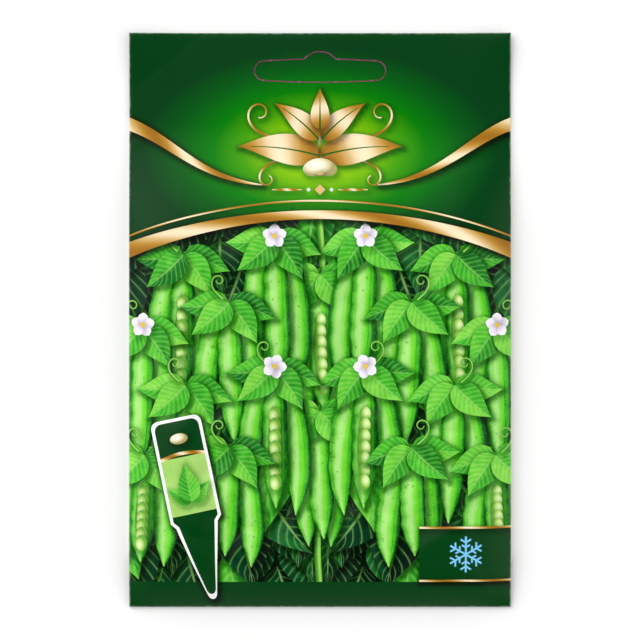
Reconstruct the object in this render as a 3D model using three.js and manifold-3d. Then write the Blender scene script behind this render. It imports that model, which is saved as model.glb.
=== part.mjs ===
// A filled seed packet, lying on its back: a flat bag folded from one sheet of coated paper.
// The front panel carries the print. Its two side wings are folded behind it and glued along a
// centre seam, a bottom flap is folded up over them, and a top flap is folded down over them.
// A hang slot is perforated through the header, with its tab still in place.
// Inside lie a stake-shaped plant label and one layer of kidney-shaped bean seeds.
// Millimetres. +X is the packet's right, +Y is towards its header, +Z is out of its printed front.
import * as THREE from "three";
import { mergeVertices } from "three/addons/utils/BufferGeometryUtils.js";
import Module from "manifold-3d";

// The bag.
const WIDTH = 93;
const HEIGHT = 140;
const WALL = 0.2; // one layer of the sheet
const GAP = 0.25; // air between two layers that lie on each other
const FLAP = 0.25; // a flap or seam, glued under the back panel
const FOLD = 0.35; // paper outside the hollow at each fold
const FULLNESS = 6.3; // how far the seeds push the front panel out
const EDGE_RUN = 18; // from a fold to where the front panel is level
const SHOULDER_LOW = 18; // the front panel slopes down from here
const SHOULDER_HIGH = 48; // to the flat header, which starts here
const SIDE_LIFT = 1.5; // how far the filled bag lifts its side folds off the table
const CORNER_CURL = 1.0; // how far the header's corners curl up
const BOTTOM_FLAP = 12;
const TOP_FLAP = 20;
const SEAM_HALF_WIDTH = 5;

// The perforated hang slot.
const SLOT_LENGTH = 32;
const SLOT_HALF_HEIGHT = 2.82; // in the middle of its length
const SLOT_END_RADIUS = 2.38;
const SLOT_Y = 60.8;
const BUMP_HALF_WIDTH = 4;
const BUMP_RISE = 1.85;
const CUT_WIDTH = 0.3;
const CUT_COUNT = 8;
const CUT_STEPS = 8; // steps of the outline that each cut takes, before one left as a bridge

// The plant label.
const LABEL_WIDTH = 27;
const LABEL_HEAD = 56;
const LABEL_LENGTH = 100;
const LABEL_THICKNESS = 0.4;
const LABEL_SHOULDER = 1.6;
const LABEL_CORNER = 4;
const LABEL_TURN = 0.07;
const LABEL_TIP_Y = -60;

// The seeds.
const SEED_COUNT = 44;
const SEED_HALF_LENGTH = 6.3;
const SEED_HALF_WIDTH = 3.1;
const SEED_HALF_THICKNESS = 2.5;
const SEED_BEND = 0.9;
const SEED_REACH = 3.3; // half the length of the capsule that a seed lies in
const CLEARANCE = 0.3; // between pieces that lie on each other

const BACK_Z = FLAP;
const HEADER_Z = BACK_Z + WALL + GAP + WALL;
const FLOOR_Z = BACK_Z + WALL + CLEARANCE;
const LABEL_TOP_Z = FLOOR_Z + LABEL_THICKNESS;

const clamp01 = (t) => Math.min(Math.max(t, 0), 1);
const smooth = (t) => clamp01(t) ** 2 * (3 - 2 * clamp01(t));
const edgeRise = (distance) => 1 - (1 - clamp01(distance / EDGE_RUN)) ** 3;

// How full the bag is along its height: 0 at the bottom fold and in the header, 1 between.
function fullness(y) {
  const shoulder = smooth((SHOULDER_HIGH - y) / (SHOULDER_HIGH - SHOULDER_LOW));
  return edgeRise(y + HEIGHT / 2) * shoulder;
}

// The part of the height that front and back share: lifted side folds and curled header corners.
function warp(x, y) {
  const fromSide = WIDTH / 2 - Math.abs(x);
  const lift = SIDE_LIFT * (1 - edgeRise(fromSide)) * fullness(y);
  const curl = smooth((Math.abs(x) - 26) / 20.5) ** 2 * smooth((y - 50) / 20) ** 2;
  return lift + CORNER_CURL * curl;
}

const back = (x, y) => BACK_Z + warp(x, y);
function front(x, y) {
  return HEADER_Z + warp(x, y) + FULLNESS * edgeRise(WIDTH / 2 - Math.abs(x)) * fullness(y);
}

// Grid lines, close together where the paper curves and far apart where it is flat.
const EDGE_STEPS = [0, 1.5, 4, 7.5, 12, 18];
const xLines = [
  ...EDGE_STEPS.map((s) => s - WIDTH / 2),
  -19, -9.5, 0, 9.5, 19,
  ...EDGE_STEPS.map((s) => WIDTH / 2 - s).reverse(),
];
const yLines = [
  ...EDGE_STEPS.map((s) => s - HEIGHT / 2),
  -35, -16, 2, 18, 22, 26, 30, 34, 38, 42, 46, 50, 56, 63, 70,
];
const inset = (lines) => [lines[0] + FOLD, ...lines.slice(1, -1), lines.at(-1) - FOLD];

// A closed solid between two height functions, over a grid of x and y lines.
function layer(xs, ys, lower, upper) {
  const positions = [];
  for (const height of [lower, upper])
    for (const y of ys) for (const x of xs) positions.push(x, y, height(x, y));
  const at = (i, j, top) => (top * ys.length + j) * xs.length + i;
  const faces = [];
  const quad = (a, b, c, d) => faces.push(a, b, c, a, c, d);
  const lastX = xs.length - 1;
  const lastY = ys.length - 1;
  for (let j = 0; j < lastY; j++)
    for (let i = 0; i < lastX; i++) {
      quad(at(i, j, 1), at(i + 1, j, 1), at(i + 1, j + 1, 1), at(i, j + 1, 1));
      quad(at(i, j, 0), at(i, j + 1, 0), at(i + 1, j + 1, 0), at(i + 1, j, 0));
    }
  for (let i = 0; i < lastX; i++) {
    quad(at(i, 0, 0), at(i + 1, 0, 0), at(i + 1, 0, 1), at(i, 0, 1));
    quad(at(i + 1, lastY, 0), at(i, lastY, 0), at(i, lastY, 1), at(i + 1, lastY, 1));
  }
  for (let j = 0; j < lastY; j++) {
    quad(at(0, j + 1, 0), at(0, j, 0), at(0, j, 1), at(0, j + 1, 1));
    quad(at(lastX, j, 0), at(lastX, j + 1, 0), at(lastX, j + 1, 1), at(lastX, j, 1));
  }
  const geometry = new THREE.BufferGeometry();
  geometry.setAttribute("position", new THREE.Float32BufferAttribute(positions, 3));
  geometry.setIndex(faces);
  return geometry;
}

const wasm = await Module();
wasm.setup();

function toSolid(geometry) {
  const bare = geometry.clone();
  bare.deleteAttribute("normal");
  bare.deleteAttribute("uv");
  const merged = mergeVertices(bare, 1e-4);
  const mesh = new wasm.Mesh({
    numProp: 3,
    vertProperties: merged.attributes.position.array,
    triVerts: new Uint32Array(merged.index.array),
  });
  return new wasm.Manifold(mesh);
}

function toGeometry(solid) {
  const mesh = solid.getMesh();
  const geometry = new THREE.BufferGeometry();
  geometry.setAttribute("position", new THREE.BufferAttribute(mesh.vertProperties, mesh.numProp));
  geometry.setIndex(new THREE.BufferAttribute(mesh.triVerts, 1));
  geometry.computeVertexNormals();
  return geometry;
}

// The hang slot's outline: a long slot with bowed sides, round ends and a low bump in its top side.
function slotOutline() {
  const endX = SLOT_LENGTH / 2 - SLOT_END_RADIUS;
  const bow = (SLOT_HALF_HEIGHT - SLOT_END_RADIUS) / endX ** 2;
  // Half the slot's height at x when both are x, and otherwise the height of the control point of
  // the bowed side between them.
  const side = (from, to) => SLOT_HALF_HEIGHT - bow * from * to;
  const bumpX = BUMP_HALF_WIDTH;
  const bumpLow = SLOT_Y + side(bumpX, bumpX);
  const bumpTop = bumpLow + BUMP_RISE;
  const midX = (bumpX + endX) / 2;
  const path = new THREE.Path();
  path.moveTo(bumpX, bumpLow);
  path.bezierCurveTo(1.9, bumpTop, 1.2, bumpTop, 0, bumpTop);
  path.bezierCurveTo(-1.2, bumpTop, -1.9, bumpTop, -bumpX, bumpLow);
  path.quadraticCurveTo(-midX, SLOT_Y + side(bumpX, endX), -endX, SLOT_Y + SLOT_END_RADIUS);
  path.absarc(-endX, SLOT_Y, SLOT_END_RADIUS, Math.PI / 2, (3 * Math.PI) / 2, false);
  path.quadraticCurveTo(0, SLOT_Y - side(-endX, endX), endX, SLOT_Y - SLOT_END_RADIUS);
  path.absarc(endX, SLOT_Y, SLOT_END_RADIUS, -Math.PI / 2, Math.PI / 2, false);
  path.quadraticCurveTo(midX, SLOT_Y + side(bumpX, endX), bumpX, bumpLow);
  return path;
}

// One perforation cut, as a thin upright blade that follows a stretch of the outline.
function cutBlade(points) {
  const side = (sign) =>
    points.map((p, i) => {
      const along = new THREE.Vector2()
        .subVectors(points[Math.min(i + 1, points.length - 1)], points[Math.max(i - 1, 0)])
        .normalize();
      return new THREE.Vector2(
        p.x - (along.y * sign * CUT_WIDTH) / 2,
        p.y + (along.x * sign * CUT_WIDTH) / 2,
      );
    });
  const shape = new THREE.Shape([...side(-1), ...side(1).reverse()]);
  const blade = new THREE.ExtrudeGeometry(shape, { depth: 4, bevelEnabled: false });
  return blade.translate(0, 0, -1);
}

function packetPaper() {
  const low = -HEIGHT / 2;
  const high = HEIGHT / 2;
  const under = (x, y) => back(x, y) - FLAP;
  const into = (x, y) => back(x, y) + WALL / 4;
  const bag = toSolid(layer(xLines, yLines, back, front));
  const hollow = toSolid(
    layer(
      inset(xLines),
      inset(yLines),
      (x, y) => back(x, y) + WALL,
      (x, y) => front(x, y) - WALL,
    ),
  );
  const flapLines = (from, to) => yLines.filter((y) => y >= from && y <= to);
  const bottomFlap = layer(xLines, flapLines(low, low + BOTTOM_FLAP), under, into);
  const topFlap = layer(xLines, flapLines(high - TOP_FLAP, high), under, into);
  const seam = layer(
    [-SEAM_HALF_WIDTH, SEAM_HALF_WIDTH],
    [low + BOTTOM_FLAP / 2, high - TOP_FLAP / 2],
    () => BACK_Z - FLAP,
    () => BACK_Z + WALL / 4,
  );
  let paper = bag.subtract(hollow);
  for (const glued of [bottomFlap, topFlap, seam]) paper = paper.add(toSolid(glued));
  const stepsPerCut = CUT_STEPS + 1;
  const outline = slotOutline().getSpacedPoints(CUT_COUNT * stepsPerCut);
  for (let cut = 0; cut < CUT_COUNT; cut++) {
    const start = cut * stepsPerCut;
    paper = paper.subtract(toSolid(cutBlade(outline.slice(start, start + stepsPerCut))));
  }
  return toGeometry(paper);
}

// A flat stake: a head with rounded corners, small shoulders and a long point, towards -Y.
function labelShape() {
  const half = LABEL_WIDTH / 2;
  const neck = half - LABEL_SHOULDER;
  const headLow = LABEL_LENGTH - LABEL_HEAD;
  const shape = new THREE.Shape();
  shape.moveTo(-half, headLow);
  shape.lineTo(-neck, headLow - LABEL_SHOULDER);
  shape.lineTo(-1.5, 1);
  shape.quadraticCurveTo(0, 0, 1.5, 1);
  shape.lineTo(neck, headLow - LABEL_SHOULDER);
  shape.lineTo(half, headLow);
  shape.lineTo(half, LABEL_LENGTH - LABEL_CORNER);
  shape.absarc(half - LABEL_CORNER, LABEL_LENGTH - LABEL_CORNER, LABEL_CORNER, 0, Math.PI / 2, false);
  shape.absarc(
    LABEL_CORNER - half, LABEL_LENGTH - LABEL_CORNER, LABEL_CORNER, Math.PI / 2, Math.PI, false,
  );
  shape.closePath();
  return shape;
}

// A kidney-shaped seed lying flat, long along X, with its scar in the hollow of its -Y side.
function seedGeometry() {
  const geometry = new THREE.SphereGeometry(1, 10, 8).rotateZ(Math.PI / 2);
  const position = geometry.attributes.position;
  for (let i = 0; i < position.count; i++) {
    const x = position.getX(i);
    const y = position.getY(i);
    const waist = y < 0 ? 1 - 0.16 * Math.exp(-((x / 0.35) ** 2)) : 1;
    position.setXYZ(
      i,
      x * SEED_HALF_LENGTH,
      y * waist * SEED_HALF_WIDTH + SEED_BEND * (0.4 - x * x),
      position.getZ(i) * SEED_HALF_THICKNESS,
    );
  }
  geometry.computeVertexNormals();
  return geometry;
}

// Repeatable random numbers from 0 to 1.
function seededRandom(seed) {
  let state = seed;
  return () => {
    state = (Math.imul(state, 1664525) + 1013904223) >>> 0;
    return state / 4294967296;
  };
}

// The middle points along a seed's capsule, close enough together to test how near others are.
function capsulePoints({ x, y, turn }) {
  return [-1, -0.5, 0, 0.5, 1].map(
    (s) => new THREE.Vector2(x + s * SEED_REACH * Math.cos(turn), y + s * SEED_REACH * Math.sin(turn)),
  );
}

function apart(a, b) {
  const least = 2 * SEED_HALF_WIDTH + CLEARANCE;
  return capsulePoints(a).every((p) => capsulePoints(b).every((q) => p.distanceTo(q) > least));
}

// Seeds dropped one by one at random places, each kept where it lies clear of the ones before.
function seedPlaces() {
  const random = seededRandom(29);
  const places = [];
  for (let tries = 0; tries < 400000 && places.length < SEED_COUNT; tries++) {
    const place = {
      x: (random() - 0.5) * 70,
      y: -58 + random() * 77,
      turn: random() * Math.PI,
    };
    const inside = capsulePoints(place).every((p) => Math.abs(p.x) < 36 && p.y > -60 && p.y < 20);
    if (inside && places.every((other) => apart(place, other))) places.push(place);
  }
  return places;
}

function onLabel(place) {
  const axis = new THREE.Vector2(-Math.sin(LABEL_TURN), Math.cos(LABEL_TURN));
  const reach = LABEL_WIDTH / 2 + SEED_HALF_WIDTH;
  return capsulePoints(place).some((p) => {
    const along = p.clone().sub(new THREE.Vector2(0, LABEL_TIP_Y)).dot(axis);
    const across = Math.abs(p.x * axis.y - (p.y - LABEL_TIP_Y) * axis.x);
    return across < reach && along > -SEED_HALF_WIDTH && along < LABEL_LENGTH + SEED_HALF_WIDTH;
  });
}

const printedPaper = new THREE.MeshStandardMaterial({ color: "#3f8f2b", roughness: 0.35 });
const seedCoat = new THREE.MeshStandardMaterial({ color: "#efe9d6", roughness: 0.3 });
const labelPlastic = new THREE.MeshStandardMaterial({ color: "#f4f5f1", roughness: 0.45 });

const packet = new THREE.Group();

const paper = new THREE.Mesh(packetPaper(), printedPaper);
paper.name = "packet_paper";
packet.add(paper);

const labelBody = new THREE.ExtrudeGeometry(labelShape(), {
  depth: LABEL_THICKNESS,
  bevelEnabled: false,
  curveSegments: 5,
});
const label = new THREE.Mesh(labelBody, labelPlastic);
label.name = "plant_label";
label.position.set(0, LABEL_TIP_Y, FLOOR_Z);
label.rotation.z = LABEL_TURN;
packet.add(label);

const oneSeed = seedGeometry();
seedPlaces().forEach((place, index) => {
  const seed = new THREE.Mesh(oneSeed, seedCoat);
  seed.name = `seed_${String(index + 1).padStart(2, "0")}`;
  const under = onLabel(place) ? LABEL_TOP_Z + CLEARANCE : FLOOR_Z;
  seed.position.set(place.x, place.y, under + SEED_HALF_THICKNESS);
  seed.rotation.z = place.turn;
  packet.add(seed);
});

export default packet;
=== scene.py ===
"""A filled seed packet lying on its back: the looks of its printed paper, its label and its seeds.

The bag is one sheet of coated paper. Both printed sides are triangulated along the outlines of what is
printed on them, which no modelling operator does, so each ink has its own faces, and the folds, the
seeds that show through and the perforated hang slot are in the mesh. The print is a generic design of
bean foliage, pods and blossoms. Lengths are millimetres until the mesh is made.
"""

import math
import random

import bmesh
import bpy
import numpy as np
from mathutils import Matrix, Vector
from mathutils.geometry import delaunay_2d_cdt
from mathutils.kdtree import KDTree


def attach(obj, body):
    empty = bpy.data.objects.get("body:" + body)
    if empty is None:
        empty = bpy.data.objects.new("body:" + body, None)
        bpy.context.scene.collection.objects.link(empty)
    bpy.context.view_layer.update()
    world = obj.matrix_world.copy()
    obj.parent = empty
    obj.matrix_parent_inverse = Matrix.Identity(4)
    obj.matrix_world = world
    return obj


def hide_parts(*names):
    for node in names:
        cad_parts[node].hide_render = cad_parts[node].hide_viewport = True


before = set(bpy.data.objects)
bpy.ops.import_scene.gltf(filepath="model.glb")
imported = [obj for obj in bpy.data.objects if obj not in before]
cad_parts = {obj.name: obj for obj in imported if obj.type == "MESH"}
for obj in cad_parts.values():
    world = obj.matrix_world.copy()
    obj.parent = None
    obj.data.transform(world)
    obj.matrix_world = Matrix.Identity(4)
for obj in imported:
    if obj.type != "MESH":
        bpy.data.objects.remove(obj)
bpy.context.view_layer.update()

MM = 0.001

# The bag, in millimetres, as its solid has it.
WIDTH = 93.0
HEIGHT = 140.0
HALF_W = WIDTH / 2
HALF_H = HEIGHT / 2
CORNER = np.array([HALF_W, HALF_H])
FLAP = 0.25
BACK_Z = FLAP
HEADER_Z = 0.9
FULLNESS = 6.3
EDGE_RUN = 18.0
SHOULDER_LOW = 18.0
SHOULDER_HIGH = 48.0
SIDE_LIFT = 1.5
CORNER_CURL = 1.0
CURL_FROM_X = 26.0
CURL_FROM_Y = 50.0
BOTTOM_FLAP_Y = -HALF_H + 12
TOP_FLAP_Y = HALF_H - 20
SEAM_X = 5.0

# The wing that overlaps at the seam sinks a layer lower over this run.
WING_FROM_X = -9.0
WING_RUN = 5.0

# The perforated hang slot.
SLOT_HALF_LENGTH = 16.0
SLOT_HALF_HEIGHT = 2.82
SLOT_END_RADIUS = 2.38
SLOT_Y = 60.8
BUMP_HALF_WIDTH = 4.0
BUMP_RISE = 1.85
BUMP_HANDLES_X = (1.9, 1.2)
CUT_WIDTH = 0.24
CUT_COUNT = 8
CUT_STEPS = 16
BRIDGE_STEPS = 2
CUT_DEPTH = 0.25

# Where the glued flaps end on the back, a step this wide.
STEP_WIDTH = 0.04

# The rounded folds: their radius, how far in from the fold the points across it lie, and the height of
# the fold's outermost line, at the glued flaps and elsewhere.
FOLD_RADIUS = 0.45
FOLD_ROWS = (0.06, 0.2, 0.45)
FOLD_Z_AT_FLAP = 0.42
FOLD_Z = 0.55

# The front over the seeds: half of each long axis that holds it up, how far beside the axis it is still
# up, how far off it starts to sag fully, and how deep.
SEED_AXIS = 3.0
HELD_WIDTH = 1.2
SAG_RUN = 3.2
SAG_DEPTH = 0.9

# The soft shadows in the print, and the painted shade beside the back's flaps and seam: which way they
# come from, their softness, darkness and reach, and how much darker it gets where they overlap.
SHADOW_SHIFT = np.array([-0.45, 0.55])
SHADOW_SOFTNESS = 0.85
SHADOW_DARKNESS = 0.92
SHADOW_REACH = 2.6
SHADOW_OVERLAP = 0.12

# The mesh: how far apart its points are on the front and the back, along the outlines, and how far the
# others stay from them; and what counts as on the sheet's edge.
FRONT_SPACING = 0.85
BACK_SPACING = 1.6
OUTLINE_STEP = 1.2
BORDER_STEP = 0.55
CLEARANCE = 0.3
EDGE_SNAP = 0.003

# The print's layout.
ARCH_CENTRE_Y = 25.5
ARCH_END_Y = 17.0
FOOTER_Y = -63.4

# How far past the sheet's edge a shape runs that ends there.
PAST = 2.0

# How many side veins a leaflet has on each side, how often a pod swells over its beans, and its width.
SIDE_VEINS = 9
POD_SWELLS = 6.5
POD_HALF_WIDTH = 2.95

rng = random.Random(11)


def smooth(t):
    """From 0 to 1 as t does, level at both ends."""
    t = np.clip(t, 0, 1)
    return t * t * (3 - 2 * t)


def edge_rise(distance):
    """From 0 at a folded edge, steeply at first, to 1 where the bag is full."""
    return 1 - (1 - np.clip(distance / EDGE_RUN, 0, 1)) ** 3


def filled(y):
    """How full the bag is along its height: 0 at the bottom fold and in the header, 1 between."""
    return edge_rise(y + HALF_H) * smooth((SHOULDER_HIGH - y) / (SHOULDER_HIGH - SHOULDER_LOW))


def warp(x, y):
    """What front and back share: the lifted side folds and the header's curled corners."""
    lift = SIDE_LIFT * (1 - edge_rise(HALF_W - np.abs(x))) * filled(y)
    outwards = smooth((np.abs(x) - CURL_FROM_X) / (HALF_W - CURL_FROM_X))
    upwards = smooth((y - CURL_FROM_Y) / (HALF_H - CURL_FROM_Y))
    return lift + CORNER_CURL * outwards ** 2 * upwards ** 2


def pairs(x, y):
    """Points from their x and y, one of which may be the same for all."""
    return np.stack(np.broadcast_arrays(x, y), 1)


def direction(heading):
    """The unit vector towards a heading in degrees."""
    angle = math.radians(heading)
    return np.array([math.cos(angle), math.sin(angle)])


def heading_of(way):
    """The heading in degrees of a vector."""
    return math.degrees(math.atan2(way[1], way[0]))


def distances_along(line):
    """How far along a line each of its points lies."""
    steps = np.linalg.norm(np.diff(line, axis=0), axis=1)
    return np.concatenate([[0], np.cumsum(steps)])


def cubic(knots, count):
    """Points along a curve from the first of four knots to the last, drawn towards the two between."""
    t = np.linspace(0, 1, count)[:, None]
    a, b, c, d = np.array(knots, float)
    return (1 - t) ** 3 * a + 3 * (1 - t) ** 2 * t * b + 3 * (1 - t) * t ** 2 * c + t ** 3 * d


def unit_ring(count):
    """Points round a circle of radius 1."""
    turns = np.linspace(0, 2 * math.pi, count, endpoint=False)
    return pairs(np.cos(turns), np.sin(turns))


def seed_axes():
    """Both ends of each seed's long axis in plan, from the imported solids."""
    ends = []
    for name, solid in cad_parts.items():
        if not name.startswith("seed_"):
            continue
        points = np.array([v.co[:2] for v in solid.data.vertices]) / MM
        middle = (points.min(0) + points.max(0)) / 2
        spread = points - points.mean(0)
        _, axes = np.linalg.eigh(spread.T @ spread)
        ends.append((middle - SEED_AXIS * axes[:, 1], middle + SEED_AXIS * axes[:, 1]))
    return ends


SEED_AXES = seed_axes()


def segment_distance(points, a, b):
    """Distances of points to the segment from a to b, all in plan."""
    along = b - a
    t = np.clip((points - a) @ along / max(along @ along, 1e-12), 0, 1)
    return np.linalg.norm(points - (a + t[:, None] * along), axis=1)


def seed_relief(x, y):
    """How far the front panel sags between the seeds that hold it up."""
    points = pairs(x, y)
    held = np.zeros(len(x))
    for a, b in SEED_AXES:
        distance = np.maximum(segment_distance(points, a, b) - HELD_WIDTH, 0)
        held = np.maximum(held, np.exp(-((distance / SAG_RUN) ** 2)))
    inside = edge_rise(HALF_W - np.abs(x)) * filled(y)
    return -SAG_DEPTH * (1 - held) * inside ** 2


def handling(x, y):
    """Puckers along the side folds, slow waves and a few soft creases, as a handled packet has."""
    pucker_height, pucker_place, pucker_width = 0.1, 7, 5
    wave_height, calm_border, flat_border = 0.05, 8, 2
    side, end = HALF_W - np.abs(x), HALF_H - np.abs(y)
    pucker = np.sin(y / 3.1 + 1.3 * np.sin(y / 9.0))
    pucker = pucker * np.exp(-(((side - pucker_place) / pucker_width) ** 2))
    waves = np.sin(x / 13 + 0.7) * np.sin(y / 17 + 0.4) + 0.6 * np.sin((x + y) / 9.5)
    waves = waves * smooth(side / calm_border) * smooth(end / calm_border)
    level = pucker_height * pucker * filled(y) + wave_height * waves
    crease_width = 1.1
    # Each crease's two ends and its height.
    creases = (
        ((-45, 44), (-18, 36), 0.16),
        ((46, 41), (20, 33), -0.14),
        ((-43, -67), (-35, -57), 0.12),
        ((43, -66), (33, -50), -0.12),
        ((-30, 69), (-45, 57), -0.08),
    )
    points = pairs(x, y)
    for a, b, height in creases:
        distance = segment_distance(points, np.array(a, float), np.array(b, float))
        level = level + height * np.exp(-((distance / crease_width) ** 2))
    return level * smooth(side / flat_border) * smooth(end / flat_border)


def fold_round(x, y):
    """1 inside the sheet and falling to 0 at the folds, as a quarter circle across a folded edge."""
    s = np.minimum(HALF_W - np.abs(x), HALF_H - np.abs(y))
    t = 1 - np.clip(s / FOLD_RADIUS, 0, 1)
    return np.sqrt(np.clip(1 - t * t, 0, 1))


def fold_middle(x, y):
    """The height of a fold's outermost line, halfway through the layers."""
    at_flap = (y < BOTTOM_FLAP_Y) | (y > TOP_FLAP_Y)
    return warp(x, y) + np.where(at_flap, FOLD_Z_AT_FLAP, FOLD_Z)


def front_height(x, y):
    """The front's height: flat in the header, crowned over the seeds, and rounded down at the folds."""
    top = HEADER_Z + warp(x, y) + FULLNESS * edge_rise(HALF_W - np.abs(x)) * filled(y)
    top = top + seed_relief(x, y) + handling(x, y)
    middle = fold_middle(x, y)
    return middle + (top - middle) * fold_round(x, y)


def back_height(x, y):
    """The glued flaps and the wing that overlaps at the seam stand one layer lower than the panel."""
    flap = (y <= BOTTOM_FLAP_Y) | (y >= TOP_FLAP_Y)
    wing = np.where(x <= SEAM_X, smooth((x - WING_FROM_X) / WING_RUN), 0)
    under = BACK_Z + warp(x, y) - FLAP * np.where(flap, 1.0, wing)
    middle = fold_middle(x, y)
    return middle + (under - middle) * fold_round(x, y)


# Printed shapes, lowest first.


class Shape:
    """One printed shape: its outline, its ink, its own coordinates, its tint from 0 to 1 and how dark
    its shadow is. Without coordinates of its own it has the sheet's, in decimetres."""

    def __init__(self, outline, ink, coordinates=None, tint=0.5, shadow=0.0):
        outline = np.asarray(outline, float)
        after = np.roll(outline, -1, 0)
        area = np.sum(outline[:, 0] * after[:, 1] - after[:, 0] * outline[:, 1])
        self.outline = outline if area > 0 else outline[::-1]
        self.ink = ink
        self.coordinates = coordinates or (lambda points: points / 100)
        self.tint = tint
        self.shadow = shadow


def strip(centre, half, ink, tint=0.5, shadow=0.0):
    """A shape along a centre line, with u across it from -1 to 1 and v along it from 0 to 1."""
    centre = np.asarray(centre, float)
    half = np.broadcast_to(np.asarray(half, float), len(centre))
    along = np.gradient(centre, axis=0)
    along /= np.linalg.norm(along, axis=1)[:, None]
    across = pairs(-along[:, 1], along[:, 0])
    left = centre + across * half[:, None]
    right = (centre - across * half[:, None])[::-1]
    outline = np.concatenate([left, right])
    keep = np.linalg.norm(outline - np.roll(outline, 1, 0), axis=1) > 0.02
    arc = distances_along(centre)

    def coordinates(points):
        nearest = np.argmin(np.linalg.norm(points[:, None] - centre[None], axis=2), axis=1)
        offset = points - centre[nearest]
        v = (arc[nearest] + np.sum(offset * along[nearest], 1)) / arc[-1]
        width = np.interp(v, arc / arc[-1], half)
        u = np.sum(offset * across[nearest], 1) / np.maximum(width, 0.25)
        return np.stack([np.clip(u, -1.15, 1.15), np.clip(v, 0, 1)], 1)

    return Shape(outline[keep], ink, coordinates, tint, shadow)


def curve(start, heading, length, bend, count=24, curl=1.0):
    """Points along a line that starts at a heading and turns by bend, both in degrees. With curl over 1
    it turns more and more towards its end, as a tendril does."""
    angles = math.radians(heading) + math.radians(bend) * np.linspace(0, 1, count) ** curl
    steps = pairs(np.cos(angles), np.sin(angles)) * length / (count - 1)
    points = np.cumsum(steps, axis=0)
    return np.asarray(start, float) + points - points[0]


def leaf(start, heading, length, width, ink, bend=0.0, tint=0.5, shadow=0.5):
    """A bean leaflet: broad below its middle, drawn out to a point."""
    v = np.linspace(0, 1, 20)
    most = 0.312  # of the curve that follows
    half = width / 2 * v ** 0.6 * (1 - v) ** 1.25 / most
    return strip(curve(start, heading, length, bend, 20), half, ink, tint, shadow)


def tendril(start, heading, length, bend, ink, half=0.34):
    """A thin line that winds up ever tighter, and thins out."""
    line = curve(start, heading, length, bend, 40, 2.4)
    return strip(line, np.linspace(half, half * 0.4, 40), ink, shadow=0.4)


def pod(start, heading, length, bend, tint, opened=False):
    """A hanging pod with its stalk and calyx, and where it is open its hollow with a row of beans."""
    v = np.linspace(0, 1, 34)
    neck_share, point_share = 0.18, 0.38
    neck = 1 - (1 - np.clip(v / neck_share, 0, 1)) ** 2.2
    point = 1 - (1 - np.clip((1 - v) / point_share, 0, 1)) ** 1.9
    half = POD_HALF_WIDTH * neck * point * (1 + 0.03 * np.sin(2 * math.pi * POD_SWELLS * v))
    line = curve(start, heading, length, bend, 34)
    backwards = line[0] - line[1]
    stalk = curve(line[0], heading_of(backwards), 4.5, bend / 4, 6)
    made = [
        strip(stalk, 0.5, "stem", tint, 0.3),
        strip(line, half, "pod", tint, 0.8),
    ]
    for side in (28, -28):
        made.append(leaf(line[0] + 0.6 * backwards, heading + side, 4.4, 2.2, "leaf", 0, tint))
    if not opened:
        return made
    hollow = line[5:29]
    opening = np.sin(math.pi * np.linspace(0, 1, len(hollow))) ** 0.6
    made.append(strip(hollow, 1.8 * opening, "pod_inside", tint))
    for place in range(3, 22, 3):
        ahead = hollow[place + 1] - hollow[place]
        made.append(bean(hollow[place], heading_of(ahead), 3.9, 1.4, "bean_fresh"))
    return made


def bean(middle, turn, length, half_width, ink="bean", hollow=0.0):
    """A bean seen from its side, hollow where its scar is, with coordinates from -1 to 1 both ways."""
    way = direction(turn)
    axes = np.array([way * length / 2, np.array([-way[1], way[0]]) * half_width])
    ring = unit_ring(22)
    below = ring[:, 1] < 0
    ring[below, 1] *= 1 - 0.3 * hollow * np.exp(-((ring[below, 0] / 0.4) ** 2))
    ring[:, 1] -= 0.25 * hollow * ring[:, 0] ** 2
    ring = np.asarray(middle, float) + ring @ axes
    inverse = np.linalg.inv(axes)
    return Shape(ring, ink, lambda points: (points - middle) @ inverse, shadow=0.45)


def blossom(middle, size, turn):
    """Five rounded petals round a yellow eye."""
    made = []
    for k in range(5):
        heading = turn + 72 * k
        v = np.linspace(0, 1, 10)
        half = size * 0.42 * np.sin(math.pi * v ** 1.25) ** 0.7
        made.append(strip(curve(middle, heading, size, 0, 10), half, "petal", shadow=0.3))
    made.append(disc(middle, size * 0.22, "eye"))
    return made


def disc(middle, radius, ink):
    """A round dot, with coordinates from -1 to 1 both ways."""
    ring = np.asarray(middle) + radius * unit_ring(16)
    return Shape(ring, ink, lambda points: (points - middle) / radius)


def mirrored(shape):
    """The same shape on the other side of the packet's centre line."""
    flip = np.array([-1.0, 1.0])
    return Shape(
        shape.outline[::-1] * flip,
        shape.ink,
        lambda points, own=shape.coordinates: own(points * flip) * flip,
        shape.tint,
        shape.shadow,
    )


def both_sides(shapes):
    """Each shape, and after it its mirror image."""
    return [s for shape in shapes for s in (shape, mirrored(shape))]


def arch_y(x):
    """The height of the arch between header and picture."""
    return ARCH_CENTRE_Y - (ARCH_CENTRE_Y - ARCH_END_Y) * (x / HALF_W) ** 2


def foliage():
    """Rows of leaflets that hang over each other, lowest row first, alike on both sides."""
    made = []
    row_step, column_step, fan = 7.6, 9.3, 22
    rows = int((ARCH_CENTRE_Y + 14 - FOOTER_Y) / row_step)
    for row in range(rows):
        for column in range(6):
            x = 0.8 + column * column_step + (4.6 if row % 2 else 0) + rng.uniform(-1.2, 1.2)
            y = FOOTER_Y + 3 + row * row_step + rng.uniform(-1.5, 1.5)
            heading = -90 + (x / HALF_W) * fan + rng.uniform(-30, 30)
            length = rng.uniform(16, 22)
            width = length * rng.uniform(0.56, 0.68)
            ink = "leaf" if rng.random() < 0.3 else "leaf_dark"
            one = leaf((x, y), heading, length, width, ink, rng.uniform(-24, 24), rng.random(), 0.85)
            made += both_sides([one])
    return made


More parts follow.
